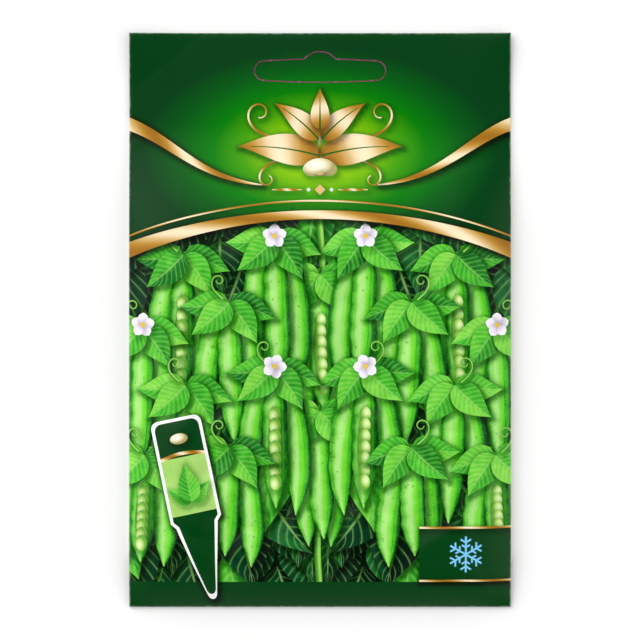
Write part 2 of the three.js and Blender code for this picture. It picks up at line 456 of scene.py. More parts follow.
# Where pods hang from the vine, on its right side: x, y and how long the pods are.
CLUSTERS = (
    (11.0, 17.5, 35), (33.0, 13.5, 34),
    (22.0, 2.0, 35), (43.0, -4.0, 33),
    (11.0, -14.0, 34), (32.5, -18.0, 33),
    (22.0, -33.0, 27), (42.5, -35.0, 24),
)


def pod_clusters():
    """Three pods hang from each leafy node, alike on both sides; in every third the front one is open."""
    made = []
    for number, (x, y, length) in enumerate(CLUSTERS):
        hanging = []
        for side in (-1, 1, 0):
            heading = -90 + side * 17 + rng.uniform(-3, 3)
            long = length * (1.0 if side else 0.9) + rng.uniform(-2, 2)
            opened = side == 0 and number % 3 == 1
            start = (x + side * 2.4, y - (0 if side else 1.5))
            hanging += pod(start, heading, long, -side * 26, rng.random(), opened)
        for heading in (-168, -12, -132, -48):
            hanging.append(leaf((x, y + 2.2), heading, 12, 7.2, "leaf", 14, rng.random(), 0.75))
        hanging.append(tendril((x + 1.5, y + 3), 40, 12, 400, "stem"))
        if number in (0, 3, 4):
            hanging += blossom((x, y + 2.8), 3.0, rng.uniform(0, 72))
        made += both_sides(hanging)
    return made


def middle_vine():
    """What stands on the centre line: a stem with pods and leaves from top to bottom."""
    height = np.linspace(FOOTER_Y - 2, ARCH_CENTRE_Y - 1, 40)
    made = [strip(pairs(0.6 * np.sin(height / 7), height), 0.8, "stem", shadow=0.6)]
    for y, length in ((8, 33), (-25, 30)):
        for side in (-1, 1):
            made += pod((side * 1.2, y), -90 + side * 13, length, -side * 20, 0.6)
        made += pod((0, y - 1), -90, length * 0.9, 4, 0.7, y > 0)
        for heading in (-168, -12, -130, -50):
            made.append(leaf((0, y + 3), heading, 12, 7.4, "leaf", 0, 0.7, 0.75))
    return made


def gold_bands():
    """The arch between header and picture, and a thin line above it."""
    x = np.linspace(-HALF_W - PAST, HALF_W + PAST, 80)
    half = 1.05 + 0.75 * (np.abs(x) / HALF_W) ** 2
    return [
        strip(pairs(x, arch_y(x)), half, "gold_band", shadow=1.0),
        strip(pairs(x, arch_y(x) + 3.4), 0.22, "gold_band", shadow=0.3),
    ]


def ribbons():
    """Two gold ribbons that sweep in from the header's sides and run out to points."""
    line = cubic([(49.0, 48.5), (37.0, 45.5), (31.0, 34.5), (14.0, 32.8)], 40)
    half = 0.12 + 1.5 * (1 - np.linspace(0, 1, 40)) ** 0.8
    return both_sides([strip(line, half, "gold_line", shadow=0.9)])


def header_region():
    """All above the arch, and past the sheet's edge."""
    x = np.linspace(HALF_W + PAST, -HALF_W - PAST, 60)
    corners = [(-HALF_W - PAST, HALF_H + PAST), (HALF_W + PAST, HALF_H + PAST)]
    return Shape(np.concatenate([pairs(x, arch_y(x)), corners]), "header")


def box(x, y, width, height, ink, shadow=0.0):
    """An upright box from its lower left corner."""
    corners = [(x, y), (x + width, y), (x + width, y + height), (x, y + height)]
    return Shape(corners, ink, shadow=shadow)


def footer_region():
    """The dark stripe along the bottom."""
    low = -HALF_H - PAST
    return box(-HALF_W - PAST, low, WIDTH + 2 * PAST, FOOTER_Y - low, "dark_green")


def sprig_ornament():
    """A sprouting bean between gold leaves and tendrils, over a tapered rule, in the header's middle."""
    rule_y = 31.6
    made = both_sides([tendril((10.0, 44.0), 16, 20, 350, "gold_line", 0.34)])
    made += both_sides([tendril((10.0, 39.0), -22, 13, -310, "gold_line", 0.3)])
    made.append(strip(curve((0, 37.5), 90, 14, 0, 8), 0.45, "gold_line", shadow=0.5))
    for heading, length, width, y in ((17, 20, 7.6, 40.0), (50, 14, 5.4, 44.0)):
        golden = leaf((0.3, y), heading, length, width, "gold", -20, shadow=0.7)
        rib_line = curve((0.3, y), heading, length * 0.84, -17, 12)
        made += both_sides([golden, strip(rib_line, np.linspace(0.24, 0.08, 12), "header_dark")])
    made.append(leaf((0, 46.5), 90, 10, 4.6, "gold", shadow=0.7))
    made.append(strip(curve((0, 46.5), 90, 8, 0, 8), np.linspace(0.24, 0.08, 8), "header_dark"))
    made.append(bean((0, 37.0), 0, 8.4, 2.4, "bean", 0.7))
    made.append(bean((0, 35.6), 0, 1.7, 0.42, "gold_line"))
    rule = np.linspace(4.4, 11.6, 14)
    rule_half = 0.3 * np.sin(math.pi * np.linspace(0.04, 0.96, 14)) ** 0.7
    made += both_sides([strip(pairs(rule, rule_y), rule_half, "gold_line", shadow=0.3)])
    made += both_sides([disc((2.8, rule_y), 0.42, "white")])
    diamond = [(0, rule_y - 1.3), (1.3, rule_y), (0, rule_y + 1.3), (-1.3, rule_y)]
    made.append(Shape(diamond, "gold", shadow=0.3))
    return made


def frost_badge():
    """A dark box at the right edge between two gold rules, with a plain six-armed snow crystal."""
    left, right = HALF_W - 22.5, HALF_W + PAST
    low, high = FOOTER_Y + 0.25, FOOTER_Y + 13.2
    made = [box(left, low, right - left, high - low, "dark_green", 1.0)]
    for y in (low, high):
        made.append(strip(pairs(np.linspace(left, right, 12), y), 0.26, "gold_line", shadow=0.5))
    middle = np.array([(left + HALF_W) / 2, (low + high) / 2])
    for heading in range(30, 390, 60):
        made.append(strip(curve(middle, heading, 4.4, 0, 6), 0.24, "ice"))
        for reach, twig in ((1.7, 1.2), (2.9, 1.5)):
            fork = middle + direction(heading) * reach
            for side in (-58, 58):
                made.append(strip(curve(fork, heading + side, twig, 0, 4), 0.22, "ice"))
    return made


def stake_outline(inset):
    """The plant label's outline, drawn small: a head with rounded corners and a long blunt point."""
    half, length, neck, corner = 6.2 - inset, 45.0 - inset, 20.0 + inset * 0.4, 1.8
    quarter = np.linspace(0, math.pi / 2, 6)
    arc = corner * pairs(np.cos(quarter), np.sin(quarter))
    corner_arc = np.array([half - corner, length - corner]) + arc
    foot = inset * 1.8
    tip = [(0.0, foot), (0.45, foot + 0.12), (0.85, foot + 0.5), (1.1, foot + 1.1)]
    side = [*tip, (half - 1.1, neck - 1.3), (half, neck), *corner_arc.tolist()]
    return np.array(side + [(-x, y) for x, y in side[:0:-1]])


def label_picture():
    """A leaning picture of the plant label that is inside, with leaves on its head."""
    lean, foot = 12, np.array([-25.8, -67.8])
    axes = np.array([direction(lean), direction(lean + 90)])

    def placed(points):
        return foot + np.asarray(points) @ axes

    side, low, high = 5.45, 21.6, 35.5
    window = [(-side, low), (side, low), (side, high), (-side, high)]
    head = np.linspace(-side, side, 12)
    made = [
        Shape(placed(stake_outline(0)), "white", shadow=1.0),
        Shape(placed(stake_outline(0.75)), "dark_green"),
        Shape(placed(window), "pod_inside"),
        strip(placed(pairs(head, high + 0.9 * np.cos(head / 3.6))), 0.4, "gold_line"),
    ]
    start = placed((0, 24.5))
    for heading, length in ((38, 6.5), (142, 6.5), (90, 9.5)):
        made.append(leaf(start, heading + lean, length, length * 0.55, "leaf", 0, 0.6, 0.4))
    made.append(bean(placed((0, 40)), lean, 4.4, 1.3))
    return made


def slot_line():
    """The hang slot's outline as evenly spaced points: bowed sides, round ends and a bump on top."""
    end_x = SLOT_HALF_LENGTH - SLOT_END_RADIUS
    bow = (SLOT_HALF_HEIGHT - SLOT_END_RADIUS) / end_x ** 2
    first, second = BUMP_HANDLES_X
    foot = SLOT_HALF_HEIGHT - bow * BUMP_HALF_WIDTH ** 2
    top = foot + BUMP_RISE
    bump = cubic([(BUMP_HALF_WIDTH, foot), (first, top), (second, top), (0, top)], 14)
    side_x = np.linspace(BUMP_HALF_WIDTH, end_x, 14)
    side = pairs(side_x, SLOT_HALF_HEIGHT - bow * side_x ** 2)
    quarter = np.radians(np.linspace(90, 0, 10))
    end = np.array([end_x, 0]) + SLOT_END_RADIUS * pairs(np.cos(quarter), np.sin(quarter))
    low_x = np.linspace(-end_x, end_x, 30)
    low = pairs(low_x, bow * low_x ** 2 - SLOT_HALF_HEIGHT)
    flip_x, flip_y = np.array([-1, 1]), np.array([1, -1])
    right_end = np.concatenate([(end * flip_y), end[::-1]])
    left_end = right_end[::-1] * flip_x
    top_left = [(bump * flip_x)[::-1], side * flip_x]
    line = np.concatenate([bump, *top_left, left_end, low, right_end, side[::-1]])
    arc = distances_along(line)
    even = np.linspace(0, arc[-1], CUT_COUNT * (CUT_STEPS + BRIDGE_STEPS) + 1)
    return pairs(np.interp(even, arc, line[:, 0]), SLOT_Y + np.interp(even, arc, line[:, 1]))


def slot_cuts():
    """The slot's printed line, and on it the cuts, with a short bridge of uncut paper after each."""
    line = slot_line()
    starts = range(0, len(line) - 1, CUT_STEPS + BRIDGE_STEPS)
    around = np.concatenate([line, line[1:3]])
    bridges = [around[s + CUT_STEPS - 1 : s + CUT_STEPS + BRIDGE_STEPS + 2] for s in starts]
    made = [strip(bridge, CUT_WIDTH / 2, "bridge") for bridge in bridges]
    return made + [strip(line[s : s + CUT_STEPS + 1], CUT_WIDTH / 2, "cut") for s in starts]


def sheet_outline():
    """The sheet's edge, with points where the flaps on the back end."""
    x = np.linspace(-HALF_W, HALF_W, 79)
    y = np.linspace(-HALF_H, HALF_H, 119)
    steps = [BOTTOM_FLAP_Y, BOTTOM_FLAP_Y + STEP_WIDTH, TOP_FLAP_Y, TOP_FLAP_Y - STEP_WIDTH]
    y = np.unique(np.concatenate([y, steps]))
    low = [(v, -HALF_H) for v in x[:-1]]
    right = [(HALF_W, v) for v in y[:-1]]
    high = [(v, HALF_H) for v in x[:0:-1]]
    left = [(-HALF_W, v) for v in y[:0:-1]]
    return np.array(low + right + high + left)


def front_shapes():
    """All that is printed on the front, lowest first."""
    return [
        Shape(sheet_outline(), "ground"),
        *foliage(),
        *middle_vine(),
        *pod_clusters(),
        header_region(),
        footer_region(),
        *gold_bands(),
        *ribbons(),
        *sprig_ornament(),
        *frost_badge(),
        *label_picture(),
        *slot_cuts(),
    ]


def sun_sign(middle):
    """A plain sun with eight rays."""
    made = [disc(middle, 1.5, "eye")]
    for heading in range(0, 360, 45):
        made.append(strip(curve(middle + direction(heading) * 2.1, heading, 1.2, 0, 3), 0.2, "eye"))
    return made


def drop_sign(middle):
    """A plain water drop: round below, drawn out to a point above."""
    turns = np.linspace(-0.5 * math.pi, 1.5 * math.pi, 28, endpoint=False)
    wide = 1.7 * np.cos(turns) * np.where(np.sin(turns) > 0, 1 - np.sin(turns) * 0.75, 1)
    tall = np.where(np.sin(turns) > 0, 3.0, 1.7) * np.sin(turns) - 0.8
    return [Shape(middle + pairs(wide, tall), "ice")]


def sprout_sign(foot):
    """A seedling with two leaves on a line of soil."""
    stem = strip(curve(foot, 90, 3.6, 0, 6), 0.22, "dark_green")
    soil = strip(curve((foot[0] - 2.6, foot[1]), 0, 5.2, 0, 6), 0.22, "dark_green")
    top = (foot[0], foot[1] + 3.4)
    leaves = [leaf(top, heading, 3.6, 2.0, "leaf", shadow=0) for heading in (38, 142)]
    return [soil, stem, *leaves]


def back_shapes(ring):
    """The back: a pale panel with blank ruled lines and a row of month boxes, and dark flaps, with
    painted shade beside the flaps and along the seam.
    """
    side, end, step = HALF_W + PAST, HALF_H + PAST, STEP_WIDTH
    panel = TOP_FLAP_Y - BOTTOM_FLAP_Y
    made = [Shape(ring, "cream")]
    # Rows of points along the flaps' ends and the seam, which the painted shade beside them needs. They
    # end inside the sheet's edge, whose points the front has already.
    left, wide = 2 - HALF_W, WIDTH - 4
    for away in (2.6, 1.7, 1.1, 0.6):
        made.append(box(left, BOTTOM_FLAP_Y, wide, away, "cream"))
        made.append(box(left, TOP_FLAP_Y - away, wide, away, "cream"))
        made.append(box(SEAM_X, BOTTOM_FLAP_Y, away, panel, "cream"))
    made += [
        # Painted shade: the wing, cream on the cream panel, casts it along the seam, and the flaps cast it
        # onto the panel beside their ends, where the paper steps a layer.
        box(-side, BOTTOM_FLAP_Y, side + SEAM_X, panel, "cream", 0.55),
        box(-side, -end, 2 * side, BOTTOM_FLAP_Y + end, "dark_green", 0.6),
        box(-side, TOP_FLAP_Y, 2 * side, end - TOP_FLAP_Y, "dark_green", 0.6),
        box(-side, BOTTOM_FLAP_Y, 2 * side, step, "white"),
        box(-side, TOP_FLAP_Y - step, 2 * side, step, "white"),
        box(SEAM_X, BOTTOM_FLAP_Y + step, step, panel - 2 * step, "white"),
    ]
    # Twelve framed month boxes, six on each side of the seam.
    month_y, month_width, month_height = 29.6, 4.9, 6.4
    month_step, over_seam, frame_width = 5.7, 12.4, 0.3
    inner_width, inner_height = month_width - 2 * frame_width, month_height - 2 * frame_width
    for month in range(12):
        x = -40.0 + month * month_step + (over_seam if month > 5 else 0)
        fill = "pod_inside" if 3 < month < 7 else "white"
        made.append(box(x, month_y, month_width, month_height, "dark_green"))
        made.append(box(x + frame_width, month_y + frame_width, inner_width, inner_height, fill))
    made += both_sides(sun_sign((34.0, 42.6)) + drop_sign((24.5, 42.6)) + sprout_sign((15.0, 39.8)))
    for row in range(9):
        for left, right in ((-40, -9), (9, 40)):
            made.append(strip(pairs(np.linspace(left, right, 10), 18 - row * 7), 0.14, "dark_green"))
    return made + slot_cuts()


# From shapes to a mesh.


def grid_points(spacing):
    """An even grid of points that stays inside the sheet's edge."""
    x = np.arange(-HALF_W + spacing, HALF_W - spacing / 2, spacing)
    y = np.arange(-HALF_H + spacing, HALF_H - spacing / 2, spacing)
    return np.stack(np.meshgrid(x, y), -1).reshape(-1, 2)


def fold_rows():
    """Closed lines just inside the sheet's edge, where the mesh bends round the folds."""
    return [np.clip(sheet_outline(), inset - CORNER, CORNER - inset) for inset in FOLD_ROWS]


def dense(outline, most):
    """The outline with points added so that none of its sides is longer than most."""
    made = []
    for a, b in zip(outline, np.roll(outline, -1, 0)):
        count = max(1, int(np.ceil(np.linalg.norm(b - a) / most)))
        made.append(a + (b - a) * np.linspace(0, 1, count, endpoint=False)[:, None])
    return np.concatenate(made)


def triangulate(shapes, spacing):
    """Triangles of the sheet that follow every outline, and the topmost shape of each."""
    outlines = [dense(s.outline, OUTLINE_STEP) for s in shapes]
    rows = fold_rows()
    borders = np.concatenate([dense(line, BORDER_STEP) for line in outlines + rows])
    tree = KDTree(len(borders))
    for i, p in enumerate(borders):
        tree.insert((p[0], p[1], 0), i)
    tree.balance()
    points = [Vector(p) for p in grid_points(spacing) if tree.find((p[0], p[1], 0))[2] > CLEARANCE]
    rings = []
    for line in outlines + rows:
        rings.append(list(range(len(points), len(points) + len(line))))
        points += [Vector(p) for p in line]
    row_edges = [(a, b) for ring in rings[len(outlines):] for a, b in zip(ring, ring[1:] + ring[:1])]
    whole, tolerance = 0, 1e-5
    made = delaunay_2d_cdt(points, row_edges, rings[: len(outlines)], whole, tolerance, True)
    placed, faces, shapes_over = made[0], made[2], made[5]
    plan = np.array([tuple(v) for v in placed])
    # The first shape is the sheet, so a face that it doesn't reach is off the sheet.
    kept = [(f, max(ids)) for f, ids in zip(faces, shapes_over) if 0 in ids]
    return plan, np.array([f for f, _ in kept]), np.array([top for _, top in kept])


def inside_outline(points, outline):
    """Whether a line to the right from each point crosses the outline an odd number of times."""
    a, b = outline, np.roll(outline, -1, 0)
    rise = b[:, 1] - a[:, 1]
    rise = np.where(np.abs(rise) < 1e-12, 1e-12, rise)
    crosses = (a[None, :, 1] > points[:, None, 1]) != (b[None, :, 1] > points[:, None, 1])
    at = a[None, :, 0] + (points[:, None, 1] - a[None, :, 1]) / rise * (b - a)[None, :, 0]
    return (np.sum(crosses & (points[:, None, 0] < at), axis=1) % 2) == 1


def outline_distance(points, outline):
    """How far outside an outline each point is, 0 within it."""
    nearest = np.full(len(points), np.inf)
    for a, b in zip(outline, np.roll(outline, -1, 0)):
        nearest = np.minimum(nearest, segment_distance(points, a, b))
    return np.where(inside_outline(points, outline), 0, nearest)


def printed_shadows(shapes, corners, top):
    """How much light each corner gets, 1 with no shape above it near by. The shadows are soft, and fall
    down and to the right. On the front they are shading drawn in the picture; on the back they are
    painted shade beside the flaps and the seam."""
    light = np.ones(corners.shape[:2])
    for number, shape in enumerate(shapes):
        if shape.shadow <= 0:
            continue
        low, high = shape.outline.min(0) - SHADOW_REACH, shape.outline.max(0) + SHADOW_REACH
        middle = corners.mean(1)
        near = (top < number) & np.all((middle > low) & (middle < high), axis=1)
        if not near.any():
            continue
        distance = outline_distance((corners[near] + SHADOW_SHIFT).reshape(-1, 2), shape.outline)
        dark = shape.shadow * SHADOW_DARKNESS * np.exp(-((distance / SHADOW_SOFTNESS) ** 2))
        dark = dark.reshape(-1, 3)
        light[near] = np.minimum(light[near], 1 - dark) * (1 - SHADOW_OVERLAP * dark)
    return light


def printed_side(shapes, spacing, height):
    """One side of the sheet: points in metres, triangles, inks, and each corner's coordinates and tone."""
    plan, faces, top = triangulate(shapes, spacing)
    used = np.unique(faces)
    renumber = np.zeros(len(plan), int)
    renumber[used] = np.arange(len(used))
    plan, faces = plan[used], renumber[faces]
    # A point a hair inside the sheet's edge belongs on it.
    plan = np.where(CORNER - np.abs(plan) < EDGE_SNAP, np.sign(plan) * CORNER, plan)
    corners = plan[faces]
    own = np.zeros(corners.shape)
    tint = np.array([s.tint for s in shapes])[top]
    for number in np.unique(top):
        mine = top == number
        own[mine] = shapes[number].coordinates(corners[mine].reshape(-1, 2)).reshape(-1, 3, 2)
    light = printed_shadows(shapes, corners, top)
    z = height(plan[:, 0], plan[:, 1])
    return {
        "points": np.column_stack([plan, z]) * MM,
        "faces": faces,
        "inks": [shapes[t].ink for t in top],
        "own": own,
        "tone": np.stack([light, np.broadcast_to(tint[:, None], light.shape)], -1),
    }


def sheet_ring(side):
    """The points on the sheet's edge, in order round it."""
    plan = side["points"][:, :2] / MM
    edge = plan[(CORNER - np.abs(plan)).min(1) < 1e-3]
    square = edge / CORNER
    return edge[np.argsort(np.arctan2(square[:, 1], square[:, 0]))]


def sink_cuts(skin, cut):
    """Lowers the hang slot's cuts into the front and the back, down from the faces round them."""
    halfway = HEADER_Z * MM / 2
    cuts = [f for f in skin.faces if f.material_index == cut]
    on_front = [f for f in cuts if f.calc_center_median().z > halfway]
    on_back = [f for f in cuts if f.calc_center_median().z < halfway]
    for facing, slits in ((1, on_front), (-1, on_back)):
        sunk = bmesh.ops.extrude_face_region(skin, geom=slits)
        moved = [g for g in sunk["geom"] if isinstance(g, bmesh.types.BMVert)]
        bmesh.ops.translate(skin, verts=moved, vec=(0, 0, -CUT_DEPTH * MM * facing))
        bmesh.ops.delete(skin, geom=slits, context="FACES")


def fix_order(elements, point_count):
    """Sorts edges or faces by their corners' numbers, because extruding adds them in no fixed order."""

    def rank(element):
        first, second, *others = sorted(v.index for v in element.verts)
        third = others[0] if others else 0
        return (first * point_count + second) * point_count + third

    elements.sort(key=rank)


def bag_mesh(name, sides, materials):
    """Front and back as one closed skin, with the hang slot's cuts sunk into both."""
    front, back = sides
    points = np.concatenate([front["points"], back["points"]])
    faces = np.concatenate([front["faces"], back["faces"][:, ::-1] + len(front["points"])])
    own = np.concatenate([front["own"], back["own"][:, ::-1]])
    tone = np.concatenate([front["tone"], back["tone"][:, ::-1]])
    inks = front["inks"] + back["inks"]
    mesh = bpy.data.meshes.new(name)
    mesh.from_pydata(points.tolist(), [], faces.tolist())
    order = list(materials)
    for key in order:
        mesh.materials.append(materials[key])
    mesh.polygons.foreach_set("material_index", [order.index(i) for i in inks])
    mesh.polygons.foreach_set("use_smooth", [True] * len(faces))
    mesh.uv_layers.new(name="Print").data.foreach_set("uv", own.astype(np.float32).ravel())
    # Tone holds in red each corner's light under the printed shadows and the back's painted shade, and in
    # green its tint.
    colours = np.ones((len(faces), 3, 4), np.float32)
    colours[..., :2] = tone
    layer = mesh.color_attributes.new("Tone", "FLOAT_COLOR", "CORNER")
    layer.data.foreach_set("color", colours.ravel())
    skin = bmesh.new()
    skin.from_mesh(mesh)
    # The front and the back meet in the same points along the sheet's edge.
    bmesh.ops.remove_doubles(skin, verts=skin.verts, dist=0.002 * MM)
    skin.normal_update()
    cut = order.index("cut")
    sink_cuts(skin, cut)
    skin.verts.index_update()
    fix_order(skin.edges, len(skin.verts))
    fix_order(skin.faces, len(skin.verts))
    sharpest_bend = math.radians(50)
    for edge in skin.edges:
        rim = len({f.material_index == cut for f in edge.link_faces}) == 2
        edge.smooth = not rim and edge.calc_face_angle(0) < sharpest_bend
    open_edges = sum(1 for e in skin.edges if not e.is_manifold)
    print("paper skin:", len(skin.faces), "faces,", open_edges, "open edges")
    skin.to_mesh(mesh)
    skin.free()
    bag = bpy.data.objects.new(name, mesh)
    bpy.context.scene.collection.objects.link(bag)
    return bag


# Materials.


def paint(text):
    """A colour as sRGB hex, turned to linear."""
    parts = [int(text[i : i + 2], 16) / 255 for i in (1, 3, 5)]
    return (*[c / 12.92 if c <= 0.04045 else ((c + 0.055) / 1.055) ** 2.4 for c in parts], 1.0)


def node(tree, kind, *inputs, named=None, stops=None, **settings):
    """Adds a shader node and returns its outputs. An input, in the sockets' order or named, is a value
    or another node's output, and stops are the places and colours along a ramp."""
    made = tree.nodes.new("ShaderNode" + kind)
    for key, value in settings.items():
        setattr(made, key, value)
    for key, value in [*enumerate(inputs), *(named or {}).items()]:
        if isinstance(value, bpy.types.NodeSocket):
            tree.links.new(value, made.inputs[key])
        else:
            made.inputs[key].default_value = value
    if stops:
        elements = made.color_ramp.elements
        while len(elements) < len(stops):
            elements.new(1.0)
        for element, (place, colour) in zip(elements, stops):
            element.position, element.color = place, paint(colour)
    return made.outputs


def every(millimetres):
    """The scale of a noise whose grains lie this far apart."""
    return 1 / (millimetres * MM)


def start_material(name):
    """An empty material, its tree, and the place on the object that its patterns are drawn by."""
    material = bpy.data.materials.new(name)
    material.use_nodes = True
    material.node_tree.nodes.clear()
    return material, material.node_tree, node(material.node_tree, "TexCoord")["Object"]


# A Mix node's colour sockets by number, because its sockets for other kinds have the same names.
UNDER, OVER, MIXED = 6, 7, 2

# What a printed shadow multiplies the ink by, from full shadow to none.
GREY_SHADE = [(0.0, "#444444"), (0.5, "#bcbcbc"), (1.0, "#ffffff")]
GREEN_SHADE = [(0.0, "#001e0e"), (0.5, "#86b47e"), (1.0, "#ffffff")]


def print_on_paper(name, colour_of, shade_stops=GREY_SHADE):
    """Offset print under a satin varnish on coated paper: even ink with broad, soft reflections. The
    sheet whitens where its folds are rubbed, and lies in faint cockles."""
    material, tree, place = start_material(name)
    own = node(tree, "UVMap", uv_map="Print")[0]
    u, v, _ = node(tree, "SeparateXYZ", own)
    tone = node(tree, "Attribute", attribute_name="Tone")["Color"]
    shade, tint, _ = node(tree, "SeparateColor", tone)
    colour = colour_of(tree, place, u, v, tint)
    light = node(tree, "ValToRGB", shade, stops=shade_stops)[0]
    shaded = {UNDER: colour, OVER: light}
    colour = node(tree, "Mix", 1.0, named=shaded, data_type="RGBA", blend_type="MULTIPLY")[MIXED]
    # Rubbed folds: within about 0.4 mm of the sheet's edge, broken up at a grain of 1.4 mm.
    from_middle = node(tree, "VectorMath", place, operation="ABSOLUTE")[0]
    corner = (HALF_W * MM, HALF_H * MM, 0)
    from_edge = node(tree, "VectorMath", corner, from_middle, operation="SUBTRACT")[0]
    side, end, _ = node(tree, "SeparateXYZ", from_edge)
    fold = node(tree, "Math", side, end, operation="MINIMUM")[0]
    grain = node(tree, "TexNoise", named={"Vector": place, "Scale": every(1.4), "Detail": 3.0})[0]
    reach = node(tree, "Math", grain, 0.7 * MM, operation="MULTIPLY")[0]
    inside = node(tree, "Math", reach, fold, operation="SUBTRACT")[0]
    rubbed = node(tree, "MapRange", inside, 0.0, 0.3 * MM, 0.0, 0.26)[0]
    worn = {UNDER: colour, OVER: paint("#e4ecdc")}
    colour = node(tree, "Mix", rubbed, named=worn, data_type="RGBA")[MIXED]
    # Paper fibre under the varnish, 0.35 mm apart and drawn a little coarse so that it shows, on
    # cockles about 6 mm across.
    fibre = node(tree, "TexNoise", named={"Vector": place, "Scale": every(0.35), "Detail": 2.0})[0]
    cockle = node(tree, "TexNoise", named={"Vector": place, "Scale": every(6), "Detail": 2.0})[0]
    fine = node(tree, "Bump", named={"Strength": 0.12, "Distance": 0.02 * MM, "Height": fibre})[0]
    wavy = {"Strength": 0.25, "Distance": 0.3 * MM, "Height": cockle, "Normal": fine}
    normal = node(tree, "Bump", named=wavy)[0]
    # Less gloss than varnish has by itself, because the photograph's print is seen without any veil.
    varnish = {"Base Color": colour, "Roughness": 0.34, "Specular IOR Level": 0.1, "Normal": normal}
    shader = node(tree, "BsdfPrincipled", named=varnish)
    node(tree, "OutputMaterial", shader[0])
    return material


# Each ink makes its colour from the place on the sheet, the shape's own coordinates u and v, and its
# tint. All take the same arguments, also those that need fewer.


def ramp_ink(stops, source="v"):
    """Ink that follows a ramp along v or across u, a little mottled."""

    def colour_of(tree, place, u, v, tint):
        level = v if source == "v" else node(tree, "MapRange", u, -1.0, 1.0, 0.0, 1.0)[0]
        mottle = node(tree, "TexNoise", named={"Vector": place, "Scale": every(1.1), "Detail": 3.0})[0]
        level = node(tree, "Math", mottle, 0.16, level, operation="MULTIPLY_ADD")[0]
        level = node(tree, "Math", level, 0.08, operation="SUBTRACT")[0]
        return node(tree, "ValToRGB", level, stops=stops)[0]

    return colour_of


def ground_ink(tree, place, u, v, tint):
    """Deep shade between the leaves."""
    blur = node(tree, "TexNoise", named={"Vector": place, "Scale": every(8), "Detail": 3.0})[0]
    return node(tree, "ValToRGB", blur, stops=[(0.35, "#00140c"), (0.55, "#022a18"), (0.75, "#08401e")])[0]


def leaf_ink(dark, plain, light):
    """A leaflet with a pale midrib, side veins that run forward, and one half in more light."""

    def colour_of(tree, place, u, v, tint):
        across = node(tree, "Math", u, operation="ABSOLUTE")[0]
        forward = node(tree, "Math", across, -0.2, v, operation="MULTIPLY_ADD")[0]
        angle = node(tree, "Math", forward, 2 * math.pi * SIDE_VEINS, operation="MULTIPLY")[0]
        wave = node(tree, "Math", angle, operation="SINE")[0]
        vein = node(tree, "MapRange", wave, 0.72, 1.0, 0.0, 0.5)[0]
        rib = node(tree, "MapRange", across, 0.02, 0.08, 1.0, 0.0)[0]
        lines = node(tree, "Math", vein, rib, operation="MAXIMUM")[0]
        mottle = node(tree, "TexNoise", named={"Vector": place, "Scale": every(2.4), "Detail": 4.0})[0]
        furrow = node(tree, "MapRange", wave, -1.0, 0.4, 0.1, 0.0)[0]
        grain = node(tree, "TexNoise", named={"Vector": place, "Scale": every(0.2), "Detail": 2.0})[0]
        level = node(tree, "MapRange", u, -0.25, 0.25, 0.16, -0.12)[0]
        for part, share in ((mottle, 0.5), (tint, 0.4), (furrow, -1.0), (grain, 0.3)):
            level = node(tree, "Math", part, share, level, operation="MULTIPLY_ADD")[0]
        level = node(tree, "Math", level, 0.15, operation="SUBTRACT")[0]
        flesh = node(tree, "ValToRGB", level, stops=[(0.1, dark), (0.45, plain), (0.9, light)])[0]
        faint = node(tree, "Math", lines, 0.5, operation="MULTIPLY")[0]
        veined = {UNDER: flesh, OVER: paint("#a8dc7c")}
        return node(tree, "Mix", faint, named=veined, data_type="RGBA")[MIXED]

    return colour_of


def pod_ink(tree, place, u, v, tint):
    """A round green pod: lit left of its middle, dark at its rims, and faintly swollen over each bean."""
    angle = node(tree, "Math", v, 2 * math.pi * POD_SWELLS, operation="MULTIPLY")[0]
    swell = node(tree, "Math", angle, operation="SINE")[0]
    mottle = node(tree, "TexNoise", named={"Vector": place, "Scale": every(0.9), "Detail": 4.0})[0]
    # Streaks along the pod, a grain 0.2 mm fine, and the seam that its halves meet in.
    spot = node(tree, "CombineXYZ", u, v, tint)[0]
    drawn_out = node(tree, "VectorMath", spot, (3.5, 1.6, 30.0), operation="MULTIPLY")[0]
    streak = node(tree, "TexNoise", named={"Vector": drawn_out, "Scale": 1.0, "Detail": 3.0})[0]
    grain = node(tree, "TexNoise", named={"Vector": place, "Scale": every(0.2), "Detail": 2.0})[0]
    seam = node(tree, "Math", u, 0.52, 0.05, operation="COMPARE")[0]
    level = node(tree, "MapRange", u, -1.0, 1.0, 0.0, 1.0)[0]
    for part, share in ((swell, 0.02), (mottle, 0.1), (streak, 0.3), (grain, 0.24), (seam, 0.07)):
        level = node(tree, "Math", part, share, level, operation="MULTIPLY_ADD")[0]
    level = node(tree, "Math", level, 0.32, operation="SUBTRACT")[0]
    flesh = node(
        tree, "ValToRGB", level,
        stops=[
            (0.0, "#1c7a18"), (0.1, "#56be2a"), (0.3, "#a8e87a"), (0.4, "#b0ea84"),
            (0.62, "#76de34"), (0.82, "#48bc26"), (0.94, "#12681a"), (1.0, "#003812"),
        ],
    )[0]
    deep = node(tree, "MapRange", tint, 0.0, 1.0, 0.26, 0.0)[0]
    dull = node(tree, "Math", deep, v, operation="MULTIPLY")[0]
    duller = {UNDER: flesh, OVER: paint("#1f7a22")}
    flesh = node(tree, "Mix", dull, named=duller, data_type="RGBA")[MIXED]
    # A few rubbed specks.
    speck = node(tree, "TexNoise", named={"Vector": place, "Scale": every(1.2), "Detail": 1.0})[0]
    rubbed = node(tree, "MapRange", speck, 0.69, 0.73, 0.0, 0.45)[0]
    specked = {UNDER: flesh, OVER: paint("#3c7a1a")}
    return node(tree, "Mix", rubbed, named=specked, data_type="RGBA")[MIXED]


def bean_ink(stops):
    """A glossy bean, lit from the upper left."""
    from_highlight = (0.25, -0.3, 0.0)

    def colour_of(tree, place, u, v, tint):
        spot = node(tree, "CombineXYZ", u, v)[0]
        off = node(tree, "VectorMath", spot, from_highlight, operation="ADD")[0]
        away = node(tree, "VectorMath", off, operation="LENGTH")[1]
        return node(tree, "ValToRGB", away, stops=stops)[0]

    return colour_of


